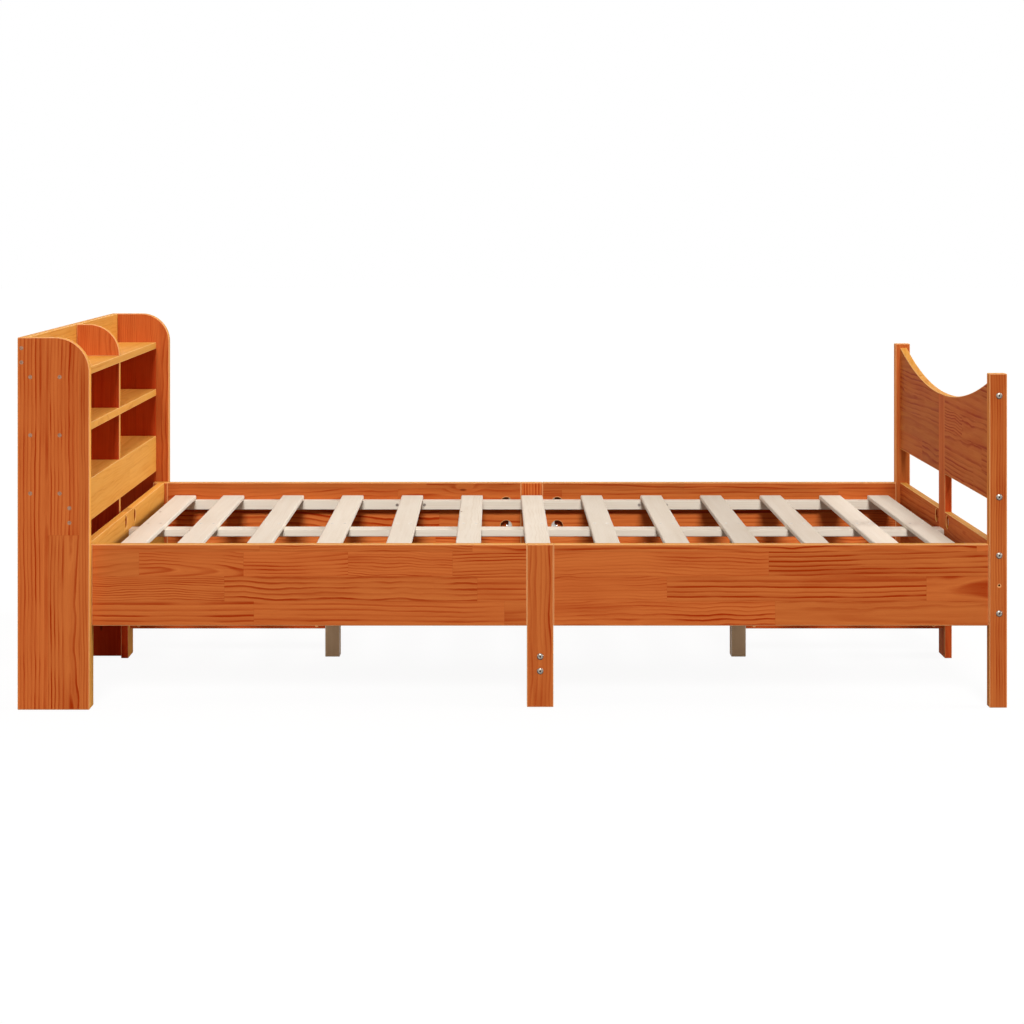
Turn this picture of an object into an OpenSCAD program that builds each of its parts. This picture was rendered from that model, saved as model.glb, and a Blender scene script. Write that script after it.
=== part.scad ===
// Bed frame with a bookcase headboard, knock-down construction in solid pine.
// Millimetres. X runs from the headboard (-X) to the footboard (+X), Z is up.
// The origin is on the floor, under the middle of the whole frame.
// Left is the -Y side, as seen by someone who looks from the foot to the head.

/* [Mattress bay] */
// Clear length between the headboard's front and the footboard posts
bay_length = 2030; // [1930:10:2130]
// Clear width between the side rails
bay_width = 1205; // [905:50:1605]

/* [Side rails] */
// Thickness of each side rail and of each middle leg
rail_thickness = 25; // [22:1:30]
// Height of the side rails, and of the lower rails at head and foot
rail_height = 184; // [172:2:200]
// Height of the rails' underside above the floor
rail_lift = 184; // [160:2:200]
// Width of each middle leg, seen from the side
middle_leg_width = 60; // [50:1:70]

/* [Headboard] */
// Thickness of each side panel
side_thickness = 25; // [20:1:30]
// Depth of each side panel, along the bed
side_depth = 162; // [150:1:180]
// Height of each side panel
side_height = 838; // [780:1:900]
// Radius of the side panels' and the top divider's front corner
corner_radius = 78; // [40:1:90]
// How far the side rails' outer faces lie inside the side panels' inner faces
rail_cover = 5; // [0:1:8]
// Depth of the short post behind each side panel's front edge
head_post_depth = 40; // [36:1:60]
// Thickness of the shelves, dividers, apron and back rail
shelf_thickness = 18; // [16:1:20]
// How far the shelves' fronts lie behind the side panels' front edges
shelf_recess = 36; // [30:1:46]
// Height of the bottom shelf's top face above the floor
bottom_shelf_height = 496; // [470:1:520]
// Height of the rail behind the top shelf
back_rail_height = 80; // [70:1:100]
// Height of the apron under the bottom shelf
apron_height = 81; // [60:1:90]
// Thickness of the thin back of the compartments
back_panel_thickness = 5; // [3:1:8]
// How far the lower head rails lie behind the side panels' front edges
head_rail_recess = 9; // [4:1:12]

/* [Footboard] */
// Depth of each footboard post, along the bed
foot_post_depth = 40; // [36:1:50]
// Thickness of each footboard post, across the bed
foot_post_thickness = 30; // [28:1:34]
// How far the footboard posts stand proud of the side rails' outer faces
foot_post_proud = 8; // [4:1:10]
// Height of the footboard posts
foot_post_height = 755; // [750:1:800]
// How far the footboard's panels and rails lie behind the posts' bay side
foot_panel_recess = 13; // [8:1:16]
// Height of the upper panels' underside above the floor
foot_panel_bottom = 462; // [440:1:480]
// Height of the upper panels' curved top at the posts
foot_corner_height = 744; // [730:1:748]
// Height of the upper panels' curved top in the middle
foot_dip_height = 661; // [640:1:690]

/* [Head and foot boards] */
// Thickness of the lower rails, the upper panels and the centre legs
board_thickness = 18; // [16:1:20]
// Width of the centre leg at the head and at the foot
centre_leg_width = 80; // [70:1:90]

/* [Slatted base] */
// Height above the floor at which the slats rest
seat_height = 322; // [312:1:330]
// Width of a slat
slat_width = 60; // [50:1:75]
// Thickness of a slat
slat_thickness = 12; // [10:1:16]
// Gap between each end slat and the end of the bay
slat_end_gap = 21; // [15:1:30]
// Distance from each end of the bay to the middle of the second slat
second_slat_distance = 185; // [175:1:200]
// Gap between a slat's end and the side rail
slat_side_gap = 5; // [2:1:8]
// Depth of each ledger, across the bed
ledger_depth = 25; // [22:1:30]
// Height of each ledger
ledger_height = 26; // [22:1:32]
// Gap between a ledger's end and the end of the bay
ledger_end_gap = 10; // [4:1:20]
// Width of the centre beam
beam_width = 60; // [50:1:80]
// Thickness of the centre beam
beam_thickness = 18; // [17:1:24]
// Width of each support leg, along the bed
support_leg_width = 37; // [32:1:45]
// Depth of each support leg, across the bed
support_leg_depth = 40; // [36:1:48]
// Distance from the middle of the bay to each support leg on the floor
support_leg_distance = 512; // [460:1:560]

/* [Low ties] */
// Height of the cross rail and the stretchers
tie_height = 58; // [50:1:70]
// Height of the ties' underside above the floor
tie_lift = 69; // [60:1:80]
// Thickness of the cross rail between the middle legs
cross_rail_thickness = 25; // [22:1:32]
// Thickness of the stretchers between the centre legs and the support legs
stretcher_thickness = 18; // [16:1:25]

/* [Bolts] */
// Diameter of the frame bolts' shanks
bolt_diameter = 6; // [5:0.5:6.5]
// Length of the frame bolts' shanks
bolt_length = 70; // [60:1:75]
// Diameter of the frame bolts' heads
bolt_head_diameter = 15; // [12:1:16]
// Height of the frame bolts' heads
bolt_head_height = 2.5; // [2:0.5:3.5]
// Outer diameter of the threaded inserts in the boards' ends
insert_diameter = 10; // [9:0.5:11]
// Length of the threaded inserts
insert_length = 20; // [12:1:22]

/* [Leg connectors] */
// Diameter of the round pockets beside the legs
pocket_diameter = 32; // [30:1:34]
// Wood left behind each pocket
pocket_floor = 3; // [2:0.5:4]
// Distance from a leg's middle to the middle of each pocket beside it
pocket_distance = 71; // [68:1:76]
// Diameter of the threaded rods through the legs
rod_diameter = 6; // [5:0.5:6.5]
// Thickness of the half-moon washers
half_moon_thickness = 8; // [7:0.5:9]
// Distance from the pocket's middle to a half-moon washer's flat side
half_moon_offset = 7; // [6:0.5:8]
// Width across flats of the nuts on the rods
nut_width = 10; // [9:0.5:10.5]
// Height of the nuts on the rods
nut_height = 5; // [4:0.5:5.5]

/* [Wood screws] */
// Diameter of the slats' and the ledgers' screws
base_screw_diameter = 4; // [3.5:0.5:4.5]
// Diameter of those screws' heads
base_screw_head = 8; // [7:0.5:9]
// Length of the screws that hold the ledgers, and the beam on its legs
ledger_screw_length = 40; // [34:1:44]
// Distance between a slat's two screws
slat_screw_spacing = 32; // [24:1:36]
// Diameter of the screws that hold the bookcase and the lower head rails
case_screw_diameter = 5; // [4:0.5:5.5]
// Diameter of those screws' heads
case_screw_head = 9; // [8:0.5:10]
// Length of those screws
case_screw_length = 60; // [50:1:65]

/* [Hidden] */

// Colours of the finishes
wax_brown = [0.74, 0.37, 0.17];
bare_pine = [0.93, 0.87, 0.78];
steel = [0.72, 0.72, 0.72];

// Clearance all round a fixing in its hole
fit = 0.1;
// Extra length of a cut past a face, so that it opens cleanly
over = 1;
// Distance that a blind hole goes past the tip of its screw, bolt or rod
tip_room = 1;

// The middle of the bay and its two ends, along X
x_mid = (side_depth - foot_post_depth - bolt_head_height) / 2;
x_head = x_mid - bay_length / 2;
x_foot = x_mid + bay_length / 2;

// Planes across the bed, as distances from the middle
y_bay = bay_width / 2;
y_rail = y_bay + rail_thickness;
y_rail_mid = y_bay + rail_thickness / 2;
y_side_in = y_rail + rail_cover;
y_side_out = y_side_in + side_thickness;
y_foot_out = y_rail + foot_post_proud;
y_foot_in = y_foot_out - foot_post_thickness;
y_leg = centre_leg_width / 2;

// Heights of the rails
z_rail_top = rail_lift + rail_height;
z_rail_mid = rail_lift + rail_height / 2;

// Headboard planes along X
x_side_back = x_head - side_depth;
x_shelf_front = x_head - shelf_recess;
x_shelf_back = x_side_back + back_panel_thickness;
x_head_board = x_head - head_rail_recess;
x_head_board_mid = x_head_board - board_thickness / 2;

// Headboard heights
z_bottom_shelf = bottom_shelf_height;
z_top_shelf = side_height - back_rail_height;
z_middle_shelf = (z_bottom_shelf + z_top_shelf) / 2;
compartment_height = z_middle_shelf - z_bottom_shelf - shelf_thickness;
z_apron_top = z_bottom_shelf - shelf_thickness;
z_apron_bottom = z_apron_top - apron_height;

// Footboard planes along X and the arc of its curved top
x_foot_board = x_foot + foot_panel_recess;
x_foot_board_mid = x_foot_board + board_thickness / 2;
dip = foot_corner_height - foot_dip_height;
dip_radius = (y_foot_in * y_foot_in + dip * dip) / (2 * dip);

// Slats
slat_count = 13;
middle_slat = (slat_count - 1) / 2;
slat_pitch = (bay_length / 2 - second_slat_distance) / (middle_slat - 1);
slat_length = bay_width - 2 * slat_side_gap;
end_slat_distance = bay_length / 2 - slat_end_gap - slat_width / 2;
z_slat_top = seat_height + slat_thickness;
z_beam_bottom = seat_height - beam_thickness;

// Screws of the bookcase: distances from the edges of the boards that they hold
shelf_screw_front = 31;
shelf_screw_back = 29;
board_screw_inset = 24;
// Bolts of the footboard and the side rails
panel_bolt_top = 39;
panel_bolt_bottom = 14;
rail_bolt_top = 24;
rail_bolt_bottom = 29;
end_bolt_spread = 33;
cross_bolt_spacing = 33;
spare_hole_diameter = 6;
spare_hole_depth = 20;
// Leg connectors: heights above the rails' underside, and inset at head and foot
side_pocket_low = 63;
side_pocket_high = 128;
end_pocket_inset = 22;
// Screws of the ledgers, as distances from the middle, and of the support legs
ledger_screw_inner_gap = 34;
ledger_screw_outer_gap = 42;
ledger_screw_end_distance = 55;
ledger_screw_distances = [
    2 * slat_pitch - ledger_screw_inner_gap,
    2 * slat_pitch + ledger_screw_outer_gap,
    4 * slat_pitch,
    bay_length / 2 - ledger_screw_end_distance
];
leg_screw_spread = 24;
support_leg_xs = [x_mid - support_leg_distance, x_mid, x_mid + support_leg_distance];
// The slats' screws stop inside the beam
slat_screw_length = slat_thickness + beam_thickness - 2;
// The drive recesses: across a bolt's hexagon, and a screw's cross
bolt_socket_width = 4.6;
bolt_socket_depth = 3;
cross_width = 1;

washer_radius = pocket_diameter / 2 - fit;
rod_spare_length = 2;
rod_length = 2 * (pocket_distance - half_moon_offset + nut_height + rod_spare_length);

// Heights of the bolts that run across the bed into the footboard's boards
foot_bolt_heights = [
    rail_lift + rail_bolt_bottom,
    z_rail_top - rail_bolt_top,
    foot_panel_bottom + panel_bolt_bottom,
    foot_corner_height - panel_bolt_top
];
// Heights of the bolts that run along the bed into the side rails' ends
end_bolt_heights = [z_rail_mid - end_bolt_spread, z_rail_mid + end_bolt_spread];
// Heights of the bolts into the cross rail's ends
cross_bolt_heights = [
    tie_lift + (tie_height - cross_bolt_spacing) / 2,
    tie_lift + (tie_height + cross_bolt_spacing) / 2
];
// Heights of the rods through the middle legs and through the centre legs
side_rod_heights = [rail_lift + side_pocket_low, rail_lift + side_pocket_high];
end_rod_heights = [rail_lift + end_pocket_inset, z_rail_top - end_pocket_inset];

$fn = 48;

// Shapes that repeat

// A board from its lowest corner to its highest corner
module board(low, high) {
    translate(low) cube(high - low);
}

// The same pieces on the other side of the bed
module other_side() {
    mirror([0, 1, 0]) children();
}

// A piece on both sides of the bed
module both_sides() {
    children();
    other_side() children();
}

// Turns a fixing, which points along -Z with its head at the origin, to a direction
module towards_left() { rotate([-90, 0, 0]) children(); }
module towards_right() { rotate([90, 0, 0]) children(); }
module towards_head() { rotate([0, 90, 0]) children(); }
module towards_foot() { rotate([0, -90, 0]) children(); }

// A rounded outline for the bookcase's sides: back at 0, front at depth
module rounded_front(depth, height, radius) {
    difference() {
        square([depth, height]);
        translate([depth - radius, height - radius]) difference() {
            square(radius + over);
            circle(radius, $fn = 96);
        }
    }
}

// A countersunk screw that points down from the origin, with a cross in its head
module screw(diameter, length, head) {
    head_height = (head - diameter) / 2;
    difference() {
        union() {
            translate([0, 0, -head_height])
                cylinder(h = head_height, d1 = diameter, d2 = head);
            translate([0, 0, -length + diameter])
                cylinder(h = length - diameter, d = diameter);
            translate([0, 0, -length])
                cylinder(h = diameter, d1 = diameter / 4, d2 = diameter);
        }
        for (turn = [0, 90])
            rotate([0, 0, turn]) translate([-diameter / 2, -cross_width / 2, -head_height / 2])
                cube([diameter, cross_width, head_height]);
    }
}

// The hole for such a screw, open at the head
module screw_hole(diameter, length, head) {
    head_height = (head - diameter) / 2;
    translate([0, 0, -head_height])
        cylinder(h = head_height, d1 = diameter + 2 * fit, d2 = head + 2 * fit);
    cylinder(h = over, d = head + 2 * fit);
    translate([0, 0, -length - tip_room])
        cylinder(h = length + tip_room, d = diameter + 2 * fit);
}

module case_screw_hole() {
    screw_hole(case_screw_diameter, case_screw_length, case_screw_head);
}

module ledger_screw_hole() {
    screw_hole(base_screw_diameter, ledger_screw_length, base_screw_head);
}

module slat_screw_hole() {
    screw_hole(base_screw_diameter, slat_screw_length, base_screw_head);
}

// A flat-headed frame bolt that points down from the origin, its head above it
module frame_bolt() {
    rim = bolt_head_height / 2;
    difference() {
        union() {
            cylinder(h = rim, d = bolt_head_diameter);
            translate([0, 0, rim])
                cylinder(h = rim, d1 = bolt_head_diameter, d2 = bolt_head_diameter - 2 * rim);
            translate([0, 0, -bolt_length]) cylinder(h = bolt_length + rim, d = bolt_diameter);
        }
        translate([0, 0, bolt_head_height - bolt_socket_depth])
            cylinder(h = bolt_socket_depth + over, d = bolt_socket_width, $fn = 6);
    }
}

module bolt_hole() {
    translate([0, 0, -bolt_length - tip_room])
        cylinder(h = bolt_length + tip_room + over, d = bolt_diameter + 2 * fit);
}

// The insert that a bolt screws into, at the face where the second board starts
module threaded_insert(depth) {
    translate([0, 0, -depth - insert_length]) difference() {
        cylinder(h = insert_length, d = insert_diameter);
        translate([0, 0, -over])
            cylinder(h = insert_length + 2 * over, d = bolt_diameter + 2 * fit);
    }
}

module insert_hole(depth) {
    translate([0, 0, -depth - insert_length])
        cylinder(h = insert_length + over, d = insert_diameter + 2 * fit);
}

// Fixings in their places: the left side is drawn, the right side mirrors it

// Long screws through a side panel, from its outer face
module at_bookcase_screws() {
    for (z_shelf = [z_bottom_shelf, z_middle_shelf, z_top_shelf])
        for (x = [x_side_back + shelf_screw_back, x_shelf_front - shelf_screw_front])
            translate([x, -y_side_out, z_shelf - shelf_thickness / 2]) towards_right() children();
    for (z = [z_top_shelf + board_screw_inset, side_height - board_screw_inset])
        translate([x_side_back + shelf_thickness / 2, -y_side_out, z]) towards_right() children();
    for (z = [z_apron_bottom + board_screw_inset, z_apron_top - board_screw_inset])
        translate([x_shelf_front - shelf_thickness / 2, -y_side_out, z]) towards_right() children();
}

// Long screws through a head post, into the end of the lower head rail
module at_head_post_screws() {
    for (z = [rail_lift + rail_bolt_bottom, z_rail_top - rail_bolt_top])
        translate([x_head_board_mid, -y_side_in, z]) towards_right() children();
}

// Bolts across the bed, through a footboard post
module at_foot_bolts() {
    for (z = foot_bolt_heights)
        translate([x_foot_board_mid, -y_foot_out, z]) towards_right() children();
}

// Bolts across the bed, through a middle leg into the cross rail
module at_cross_bolts() {
    for (z = cross_bolt_heights)
        translate([x_mid, -y_rail, z]) towards_right() children();
}

// Bolts along the bed, through a head post into a side rail
module at_head_end_bolts() {
    for (z = end_bolt_heights)
        translate([x_head - head_post_depth, -y_rail_mid, z]) towards_foot() children();
}

// Bolts along the bed, through a footboard post into a side rail
module at_foot_end_bolts() {
    for (z = end_bolt_heights)
        translate([x_foot + foot_post_depth, -y_rail_mid, z]) towards_head() children();
}

// Rods through the left middle leg: centre of each rod, which lies along the bed
module at_side_rods() {
    for (z = side_rod_heights)
        translate([x_mid, -y_rail_mid, z]) children();
}

// Rods through the two centre legs, which lie across the bed
module at_end_rods() {
    for (z = end_rod_heights) {
        translate([x_head_board_mid, 0, z]) rotate([0, 0, -90]) children();
        translate([x_foot_board_mid, 0, z]) rotate([0, 0, 90]) children();
    }
}

// Every rod: along X, with the open side of its pockets towards +Y
module at_rods() {
    both_sides() at_side_rods() children();
    at_end_rods() children();
}

// Two round pockets for one rod, open at a distance from the rod's line
module pocket_pair(board_thick) {
    depth = board_thick - pocket_floor;
    for (side = [-1, 1])
        translate([side * pocket_distance, board_thick / 2 + over, 0])
            rotate([90, 0, 0]) cylinder(h = depth + over, d = pocket_diameter);
}

module rod_hole() {
    translate([-rod_length / 2 - tip_room, 0, 0])
        rotate([0, 90, 0]) cylinder(h = rod_length + 2 * tip_room, d = rod_diameter + 2 * fit);
}

module tie_rod() {
    translate([-rod_length / 2, 0, 0])
        rotate([0, 90, 0]) cylinder(h = rod_length, d = rod_diameter);
}

// A half-moon washer in the leg's side of each pocket
module half_moon_pair() {
    for (side = [-1, 1])
        translate([side * pocket_distance, 0, 0]) difference() {
            translate([0, half_moon_thickness / 2, 0])
                rotate([90, 0, 0]) cylinder(h = half_moon_thickness, r = washer_radius);
            translate([side > 0 ? -half_moon_offset : -2 * washer_radius + half_moon_offset,
                -half_moon_thickness, -2 * washer_radius])
                cube([2 * washer_radius, 2 * half_moon_thickness, 4 * washer_radius]);
            translate([-side * 2 * washer_radius, 0, 0]) rotate([0, side * 90, 0])
                cylinder(h = 4 * washer_radius, d = rod_diameter + 2 * fit);
        }
}

// A nut on each end of a rod, against the half-moon washer
module nut_pair() {
    for (side = [-1, 1])
        translate([side * (pocket_distance - half_moon_offset), 0, 0])
            rotate([0, side * 90, 0]) difference() {
                cylinder(h = nut_height, d = nut_width / cos(30), $fn = 6);
                translate([0, 0, -over])
                    cylinder(h = nut_height + 2 * over, d = rod_diameter + 2 * fit);
            }
}

// Where a slat's middle lies along the bed
function slat_x(number) =
    number == 1 ? x_mid - end_slat_distance
    : number == slat_count ? x_mid + end_slat_distance
    : x_mid + (number - 1 - middle_slat) * slat_pitch;

// Screws of the slats, of the beam on its legs and of the left ledger
module at_slat_screws(number) {
    for (side = [-1, 1])
        translate([slat_x(number) + side * slat_screw_spacing / 2, 0, z_slat_top]) children();
}

module at_beam_screws() {
    for (x = support_leg_xs)
        for (side = [-1, 1])
            translate([x, side * leg_screw_spread / 2, seat_height]) children();
}

module at_ledger_screws() {
    for (side = [-1, 1])
        for (distance = ledger_screw_distances)
            translate([x_mid + side * distance, -y_bay + ledger_depth,
                seat_height - ledger_height / 2])
                towards_left() children();
}

// Headboard

module headboard_side_left() {
    color(wax_brown) difference() {
        translate([x_side_back, -y_side_in, 0]) rotate([90, 0, 0])
            linear_extrude(side_thickness) rounded_front(side_depth, side_height, corner_radius);
        at_bookcase_screws() case_screw_hole();
    }
}

module headboard_side_right() { other_side() headboard_side_left(); }

module headboard_post_left() {
    color(wax_brown) difference() {
        board([x_head - head_post_depth, -y_side_in, 0], [x_head, -y_bay, z_rail_top]);
        at_head_end_bolts() bolt_hole();
        at_head_post_screws() case_screw_hole();
    }
}

module headboard_post_right() { other_side() headboard_post_left(); }

// A shelf between the side panels, drilled for the screws at its ends
module shelf(x_back, z_top) {
    color(wax_brown) difference() {
        board([x_back, -y_side_in, z_top - shelf_thickness], [x_shelf_front, y_side_in, z_top]);
        both_sides() at_bookcase_screws() case_screw_hole();
    }
}

module top_shelf() { shelf(x_side_back, z_top_shelf); }
module middle_shelf() { shelf(x_shelf_back, z_middle_shelf); }
module bottom_shelf() { shelf(x_shelf_back, z_bottom_shelf); }

module top_divider() {
    depth = x_shelf_front - x_side_back - shelf_thickness;
    color(wax_brown)
        translate([x_side_back + shelf_thickness, shelf_thickness / 2, z_top_shelf])
            rotate([90, 0, 0]) linear_extrude(shelf_thickness)
                rounded_front(depth, back_rail_height, min(corner_radius, back_rail_height));
}

// A divider between two shelves, from its underside up
module divider(z_bottom) {
    color(wax_brown)
        board([x_shelf_back, -shelf_thickness / 2, z_bottom],
            [x_shelf_front, shelf_thickness / 2, z_bottom + compartment_height]);
}

module upper_divider() { divider(z_middle_shelf); }
module lower_divider() { divider(z_bottom_shelf); }

// The board under the bookcase, notched for the apron, down to the floor
module centre_support_panel() {
    color(wax_brown) difference() {
        board([x_shelf_back, -shelf_thickness / 2, 0],
            [x_shelf_front, shelf_thickness / 2, z_apron_top]);
        board([x_shelf_front - shelf_thickness, -shelf_thickness, z_apron_bottom],
            [x_shelf_front + over, shelf_thickness, z_apron_top + over]);
    }
}

module back_rail() {
    color(wax_brown) difference() {
        board([x_side_back, -y_side_in, z_top_shelf],
            [x_side_back + shelf_thickness, y_side_in, side_height]);
        both_sides() at_bookcase_screws() case_screw_hole();
    }
}

module back_panel() {
    color(wax_brown)
        board([x_side_back, -y_side_in, z_apron_top],
            [x_shelf_back, y_side_in, z_top_shelf - shelf_thickness]);
}

module headboard_apron() {
    color(wax_brown) difference() {
        board([x_shelf_front - shelf_thickness, -y_side_in, z_apron_bottom],
            [x_shelf_front, y_side_in, z_apron_top]);
        both_sides() at_bookcase_screws() case_screw_hole();
    }
}

module headboard_rail_left() {
    color(wax_brown) difference() {
        board([x_head_board - board_thickness, -y_bay, rail_lift],
            [x_head_board, -y_leg, z_rail_top]);
        at_head_post_screws() case_screw_hole();
        at_end_rods() union() {
            pocket_pair(board_thickness);
            rod_hole();
        }
    }
}

module headboard_rail_right() { other_side() headboard_rail_left(); }

module headboard_centre_leg() {
    color(wax_brown) difference() {
        board([x_head_board - board_thickness, -y_leg, 0], [x_head_board, y_leg, z_rail_top]);
        at_end_rods() rod_hole();
    }
}

// Footboard

module footboard_post_left() {
    color(wax_brown) difference() {
        board([x_foot, -y_foot_out, 0], [x_foot + foot_post_depth, -y_foot_in, foot_post_height]);
        at_foot_bolts() bolt_hole();
        at_foot_end_bolts() bolt_hole();
        translate([x_foot_board_mid, -y_foot_out - over, z_rail_mid]) rotate([-90, 0, 0])
            cylinder(h = spare_hole_depth + over, d = spare_hole_diameter);
    }
}

module footboard_post_right() { other_side() footboard_post_left(); }

// The curved outline of the whole upper panel, seen along the bed
module curved_outline() {
    difference() {
        translate([-y_foot_in, foot_panel_bottom])
            square([2 * y_foot_in, foot_corner_height - foot_panel_bottom]);
        translate([0, foot_dip_height + dip_radius]) circle(dip_radius, $fn = 360);
    }
}

// A slice of the upper panel between two distances from the middle
module panel_slice(y_from, y_to) {
    translate([x_foot_board, 0, 0]) rotate([90, 0, 90]) linear_extrude(board_thickness)
        intersection() {
            curved_outline();
            translate([y_from, 0]) square([y_to - y_from, foot_post_height]);
        }
}

module footboard_panel_left() {
    color(wax_brown) difference() {
        panel_slice(-y_foot_in, -y_leg);
        at_foot_bolts() union() {
            bolt_hole();
            insert_hole(foot_post_thickness);
        }
    }
}

module footboard_panel_right() { other_side() footboard_panel_left(); }

module footboard_rail_left() {
    color(wax_brown) difference() {
        board([x_foot_board, -y_foot_in, rail_lift],
            [x_foot_board + board_thickness, -y_leg, z_rail_top]);
        at_foot_bolts() union() {
            bolt_hole();
            insert_hole(foot_post_thickness);
        }
        at_end_rods() union() {
            pocket_pair(board_thickness);
            rod_hole();
        }
    }
}

module footboard_rail_right() { other_side() footboard_rail_left(); }

module footboard_centre_leg() {
    color(wax_brown) difference() {
        union() {
            board([x_foot_board, -y_leg, 0],
                [x_foot_board + board_thickness, y_leg, foot_panel_bottom]);
            panel_slice(-y_leg, y_leg);
        }
        at_end_rods() rod_hole();
    }
}

// Side rails and middle legs

module side_rail_left_head() {
    color(wax_brown) difference() {
        board([x_head, -y_rail, rail_lift], [x_mid - middle_leg_width / 2, -y_bay, z_rail_top]);
        at_head_end_bolts() union() {
            bolt_hole();
            insert_hole(head_post_depth);
        }
        side_rail_cuts();
    }
}

module side_rail_left_foot() {
    color(wax_brown) difference() {
        board([x_mid + middle_leg_width / 2, -y_rail, rail_lift], [x_foot, -y_bay, z_rail_top]);
        at_foot_end_bolts() union() {
            bolt_hole();
            insert_hole(foot_post_depth);
        }
        side_rail_cuts();
    }
}

// Pockets, rod holes and ledger screw holes, which the head half and the foot half share
module side_rail_cuts() {
    at_side_rods() union() {
        pocket_pair(rail_thickness);
        rod_hole();
    }
    at_ledger_screws() ledger_screw_hole();
}

module side_rail_right_head() { other_side() side_rail_left_head(); }
module side_rail_right_foot() { other_side() side_rail_left_foot(); }

module middle_leg_left() {
    color(wax_brown) difference() {
        board([x_mid - middle_leg_width / 2, -y_rail, 0],
            [x_mid + middle_leg_width / 2, -y_bay, z_rail_top]);
        at_side_rods() rod_hole();
        at_cross_bolts() bolt_hole();
    }
}

module middle_leg_right() { other_side() middle_leg_left(); }

// Slatted base

module slat_ledger_left() {
    color(bare_pine) difference() {
        board([x_head + ledger_end_gap, -y_bay, seat_height - ledger_height],
            [x_foot - ledger_end_gap, -y_bay + ledger_depth, seat_height]);
        at_ledger_screws() ledger_screw_hole();
    }
}

module slat_ledger_right() { other_side() slat_ledger_left(); }

module centre_beam() {
    color(bare_pine) difference() {
        board([x_head_board, -beam_width / 2, z_beam_bottom],
            [x_foot_board, beam_width / 2, seat_height]);
        for (number = [1:slat_count]) at_slat_screws(number) slat_screw_hole();
        at_beam_screws() ledger_screw_hole();
    }
}

// A support leg at a distance along the bed, from a height up to the beam
module support_leg(x, z_bottom) {
    color(bare_pine) difference() {
        board([x - support_leg_width / 2, -support_leg_depth / 2, z_bottom],
            [x + support_leg_width / 2, support_leg_depth / 2, z_beam_bottom]);
        at_beam_screws() ledger_screw_hole();
    }
}

module support_leg_head() { support_leg(support_leg_xs[0], 0); }
module support_leg_middle() { support_leg(support_leg_xs[1], tie_lift + tie_height); }
module support_leg_foot() { support_leg(support_leg_xs[2], 0); }

module cross_rail() {
    color(wax_brown) difference() {
        board([x_mid - cross_rail_thickness / 2, -y_bay, tie_lift],
            [x_mid + cross_rail_thickness / 2, y_bay, tie_lift + tie_height]);
        both_sides() at_cross_bolts() union() {
            bolt_hole();
            insert_hole(rail_thickness);
        }
    }
}

module stretcher(x_from, x_to) {
    color(wax_brown)
        board([x_from, -stretcher_thickness / 2, tie_lift],
            [x_to, stretcher_thickness / 2, tie_lift + tie_height]);
}

module stretcher_head() {
    stretcher(x_head_board, support_leg_xs[0] - support_leg_width / 2);
}

module stretcher_foot() {
    stretcher(support_leg_xs[2] + support_leg_width / 2, x_foot_board);
}

module slat(number) {
    color(bare_pine) difference() {
        board([slat_x(number) - slat_width / 2, -slat_length / 2, seat_height],
            [slat_x(number) + slat_width / 2, slat_length / 2, z_slat_top]);
        at_slat_screws(number) slat_screw_hole();
    }
}

// Fixings

module bookcase_screws() {
    color(steel) both_sides() {
        at_bookcase_screws() screw(case_screw_diameter, case_screw_length, case_screw_head);
        at_head_post_screws() screw(case_screw_diameter, case_screw_length, case_screw_head);
    }
}

module ledger_screws() {
    color(steel) {
        both_sides() at_ledger_screws()
            screw(base_screw_diameter, ledger_screw_length, base_screw_head);
        at_beam_screws() screw(base_screw_diameter, ledger_screw_length, base_screw_head);
    }
}

module slat_screws() {
    color(steel) for (number = [1:slat_count]) at_slat_screws(number)
        screw(base_screw_diameter, slat_screw_length, base_screw_head);
}

module frame_bolts() {
    color(steel) both_sides() {
        at_foot_bolts() frame_bolt();
        at_cross_bolts() frame_bolt();
        at_head_end_bolts() frame_bolt();
        at_foot_end_bolts() frame_bolt();
    }
}

module threaded_inserts() {
    color(steel) both_sides() {
        at_foot_bolts() threaded_insert(foot_post_thickness);
        at_cross_bolts() threaded_insert(rail_thickness);
        at_head_end_bolts() threaded_insert(head_post_depth);
        at_foot_end_bolts() threaded_insert(foot_post_depth);
    }
}

module tie_rods() { color(steel) at_rods() tie_rod(); }
module half_moon_washers() { color(steel) at_rods() half_moon_pair(); }
module rod_nuts() { color(steel) at_rods() nut_pair(); }

headboard_side_left();
headboard_side_right();
headboard_post_left();
headboard_post_right();
top_shelf();
middle_shelf();
bottom_shelf();
top_divider();
upper_divider();
lower_divider();
centre_support_panel();
back_rail();
back_panel();
headboard_apron();
headboard_rail_left();
headboard_rail_right();
headboard_centre_leg();
footboard_post_left();
footboard_post_right();
footboard_panel_left();
footboard_panel_right();
footboard_rail_left();
footboard_rail_right();
footboard_centre_leg();
side_rail_left_head();
side_rail_left_foot();
side_rail_right_head();
side_rail_right_foot();
middle_leg_left();
middle_leg_right();
slat_ledger_left();
slat_ledger_right();
centre_beam();
support_leg_head();
support_leg_middle();
support_leg_foot();
cross_rail();
stretcher_head();
stretcher_foot();
slat(1);  // slat_01
slat(2);  // slat_02
slat(3);  // slat_03
slat(4);  // slat_04
slat(5);  // slat_05
slat(6);  // slat_06
slat(7);  // slat_07
slat(8);  // slat_08
slat(9);  // slat_09
slat(10);  // slat_10
slat(11);  // slat_11
slat(12);  // slat_12
slat(13);  // slat_13
bookcase_screws();
ledger_screws();
slat_screws();
frame_bolts();
threaded_inserts();
tie_rods();
half_moon_washers();
rod_nuts();
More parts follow.
